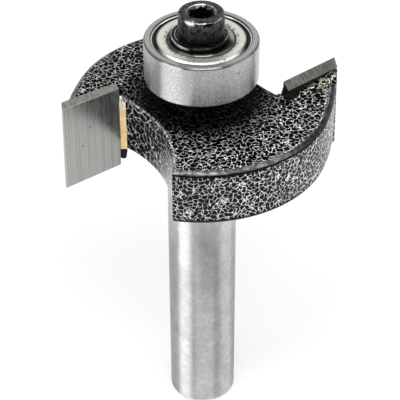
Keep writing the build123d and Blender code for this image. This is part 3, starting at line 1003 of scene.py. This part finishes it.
# %% [markdown]
# ## Lay the beads
# Each tip has a bright bead of braze up its inner corner, a fillet of painted-over braze along its back where
# it meets the head's top, a little burnt flux below the bead's lower end, and a thin bead in the same black
# finish that climbs the inner corner from the bead's top to the tip's top. Places are measured from the
# cutting edge: inwards along the face, backwards square to it, and up.

# %% Lay the beads at both tips
LUMP_SIZE = 1400.0


def joint_point(side, inwards, backwards, height):
    """A point at tip 1 (side 1) or tip 2 (side -1), in millimetres from its cutting edge."""
    plan = (EDGE_POINT - FACE * inwards * MM + BACK * backwards * MM) * side
    return (plan.x, plan.y, height * MM)


def bead(name, side, start, end, radii, lumps, seed, finish):
    """One bead between two joint points."""
    inputs = {
        "Start": joint_point(side, *start),
        "End": joint_point(side, *end),
        "Start Radius": radii[0] * MM,
        "End Radius": radii[1] * MM,
        "Lumps": lumps * MM,
        "Lump Size": LUMP_SIZE,
        "Seed": seed,
        "Finish": finish,
    }
    grown(name, bead_tree, inputs, "cutter")


for number, side, bead_top in ((1, 1, 43.75), (2, -1, 44.3)):
    for title, start, end, radii, lumps, first_seed, finish in (
        ("braze_bead", (7.8, 0.26, 36.9), (7.75, 0.26, bead_top), (0.38, 0.44), 0.12, 0, braze_metal),
        ("paint_fillet", (6.7, 1.6, 43.8), (1.15, 1.45, 44.45), (0.62, 0.98), 0.4, 4.0, painted_braze),
        ("flux_low", (8.0, 0.4, 37.0), (7.9, 0.32, 35.7), (0.5, 0.38), 0.3, 8.0, burnt_flux),
        # A thin black bead up each tip's inner corner, from the braze bead's top to the tip's top.
        ("black_corner", (7.45, 0.3, 45.2), (7.9, 0.45, 44.0), (0.12, 0.24), 0.12, 12.0, burnt_flux),
    ):
        bead(f"{title}_{number}", side, start, end, radii, lumps, number + first_seed, finish)

# %% [markdown]
# ## Geometry Nodes: the wire rings
# Each shield is held by a ring of spring wire with a gap in it. A round profile swept along an open arc is
# exactly how the real one is bent, and a tree with named sizes can make it for either side of the bearing.

# %% Build the wire-ring tree and both rings
FIRST_END, SWEEP = math.radians(-109.0), math.radians(344.0)
ring_tree, given = new_geometry_tree(
    "wire ring", (), ("Ring Radius", "Wire Radius", "First End", "Sweep", "Height")
)
tree = ring_tree
bend = {"Radius": given["Ring Radius"], "Start Angle": given["First End"], "Sweep Angle": given["Sweep"]}
arc = node(tree, "GeometryNodeCurveArc", {"Resolution": 160} | bend).outputs[0]
round_wire = {"Resolution": 16, "Radius": given["Wire Radius"]}
profile = node(tree, "GeometryNodeCurvePrimitiveCircle", round_wire).outputs[0]
swept = {"Curve": arc, "Profile Curve": profile, "Fill Caps": True}
wire = node(tree, "GeometryNodeCurveToMesh", swept).outputs[0]
lift = node(tree, "ShaderNodeCombineXYZ", {"Z": given["Height"]}).outputs[0]
lifted = node(tree, "GeometryNodeSetPosition", {"Geometry": wire, "Offset": lift}).outputs[0]
finish_tree(tree, lifted, given["Finish"])

for place_name in ("upper", "lower"):
    low, high = (Vector(corner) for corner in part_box(f"wire_ring_{place_name}"))
    wire_radius = (high.z - low.z) / 2
    inputs = {
        "Ring Radius": high.x - wire_radius,
        "Wire Radius": wire_radius,
        "First End": FIRST_END,
        "Sweep": SWEEP,
        "Height": (low.z + high.z) / 2,
        "Finish": spring_wire,
    }
    ring = grown(f"spring_wire_{place_name}", ring_tree, inputs, "pilot")
    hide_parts(f"wire_ring_{place_name}")

# %% [markdown]
# ## Floor and backdrop
# A white floor is lit by the lamps, so it keeps the bit's shadow. For the camera and for reflections its
# colour is lifted most of the way to plain white, and the world behind it is white too, so that the metals
# show a white studio. The studio is open at the front, so reflections see both darker there, and the world
# darker overhead. The rays that only light the bit see a dimmer world, which keeps the light plain.

# %% Build the floor and the world
FLOOR_SIZE = 3.0
FLOOR_LIFT = 0.6
UNSEEN_SKY = 0.6


def rays(tree):
    """Two masks: camera rays, and all rays from the camera, off a mirror or through glass."""
    path = node(tree, "ShaderNodeLightPath").outputs
    seen = greatest(path["Is Camera Ray"], path["Is Glossy Ray"], path["Is Transmission Ray"])
    return path["Is Camera Ray"], seen


bpy.ops.mesh.primitive_plane_add(size=FLOOR_SIZE, location=(0.0, 0.0, 0.0))
floor = bpy.context.object
floor.name = "floor"
floor_material, tree, sockets, place = new_material(
    "floor white", {"Base Color": (0.86, 0.86, 0.86, 1), "Roughness": 0.9}
)
from_camera, seen = rays(tree)
sweep = step(distance_along(place, FRONT), 0.05, 0.15, 1.0, 0.25)
sweep = blend_values(from_camera, sweep, 1.0)
white = node(tree, "ShaderNodeEmission", {"Color": (1, 1, 1, 1), "Strength": sweep}).outputs[0]
paint = tree.nodes["Principled BSDF"].outputs[0]
lifted = node(tree, "ShaderNodeMixShader", {0: product(seen, FLOOR_LIFT), 1: paint, 2: white})
tree.links.new(lifted.outputs[0], tree.nodes["Material Output"].inputs["Surface"])
floor.data.materials.append(floor_material)

world = bpy.data.worlds.new("studio")
bpy.context.scene.world = world
world.use_nodes = True
tree = world.node_tree
tree.nodes.clear()
from_camera, seen = rays(tree)
direction = node(tree, "ShaderNodeTexCoord").outputs["Generated"]
ceiling = product(
    step(part_of(direction, "Z"), 0.3, 0.62, 1.0, 0.64),
    step(distance_along(direction, FRONT), 0.35, 0.8, 1.0, 0.25),
)
ceiling = blend_values(from_camera, ceiling, 1.0)
strength = product(ceiling, blend_values(seen, UNSEEN_SKY, 1.0))
sky = node(tree, "ShaderNodeBackground", {"Color": (1, 1, 1, 1), "Strength": strength})
tree.links.new(sky.outputs[0], node(tree, "ShaderNodeOutputWorld").inputs["Surface"])
print("floor:", floor.name, "world:", world.name, len(tree.nodes), "nodes")

# %% [markdown]
# ## Lamps
# Three soft boxes: a tall one on the left that draws the bright streak on the shank and the bearing, a wide
# one overhead and to the front that lights the rims, and a weak one on the right. Each is placed by its
# azimuth and elevation as seen from the bit, and points at the head.


# %% Set up the lamps
def direction_at(azimuth, elevation):
    """A direction away from the bit; angles in degrees, azimuth 0 in front, 90 at the right."""
    turn, rise = math.radians(azimuth), math.radians(elevation)
    return Vector((math.sin(turn) * math.cos(rise), -math.cos(turn) * math.cos(rise), math.sin(rise)))


def soft_box(name, azimuth, elevation, distance, size, power):
    """An area lamp that looks at the cutter's head."""
    away = direction_at(azimuth, elevation)
    lamp = bpy.data.lights.new(name, "AREA")
    lamp.shape = "RECTANGLE"
    lamp.size, lamp.size_y = size
    lamp.energy = power
    holder = bpy.data.objects.new(name, lamp)
    holder.location = Vector((0.0, 0.0, HEAD_HIGH)) + away * distance
    holder.rotation_euler = away.to_track_quat("Z", "Y").to_euler()
    bpy.context.scene.collection.objects.link(holder)
    print(name, [round(part, 3) for part in holder.location])


soft_box("soft_box_left", -76.0, 14.0, 0.5, (0.36, 0.5), 2.9)
soft_box("soft_box_front", -10.0, 60.0, 0.5, (0.4, 0.25), 2.6)
soft_box("soft_box_right", 62.0, 22.0, 0.6, (0.5, 0.5), 1.2)

# %% [markdown]
# ## Camera
# A long lens from the front left, about 38 degrees above the horizon and a little off level.

# %% Place the camera
CAMERA_AIM = Vector((-0.215, 0.074, 29.335)) * MM
CAMERA_DISTANCE = 184.43 * MM
CAMERA_AZIMUTH = -18.9
CAMERA_ELEVATION = 37.668
CAMERA_ROLL = math.radians(-0.274)
LENS = 141.65

away = direction_at(CAMERA_AZIMUTH, CAMERA_ELEVATION)
turn = math.radians(CAMERA_AZIMUTH)
level = Vector((math.cos(turn), math.sin(turn), 0.0))
right = level * math.cos(CAMERA_ROLL) + away.cross(level) * math.sin(CAMERA_ROLL)
camera = bpy.data.objects.new("camera", bpy.data.cameras.new("camera"))
camera.data.lens = LENS
camera.data.clip_start = 10 * MM
camera.matrix_world = Matrix.Translation(CAMERA_AIM + away * CAMERA_DISTANCE) @ Matrix(
    (right, away.cross(right), away)
).transposed().to_4x4()
bpy.context.scene.collection.objects.link(camera)
bpy.context.scene.camera = camera
bpy.context.scene.view_settings.view_transform = "Standard"
print("camera at", [round(part, 4) for part in camera.matrix_world.translation])
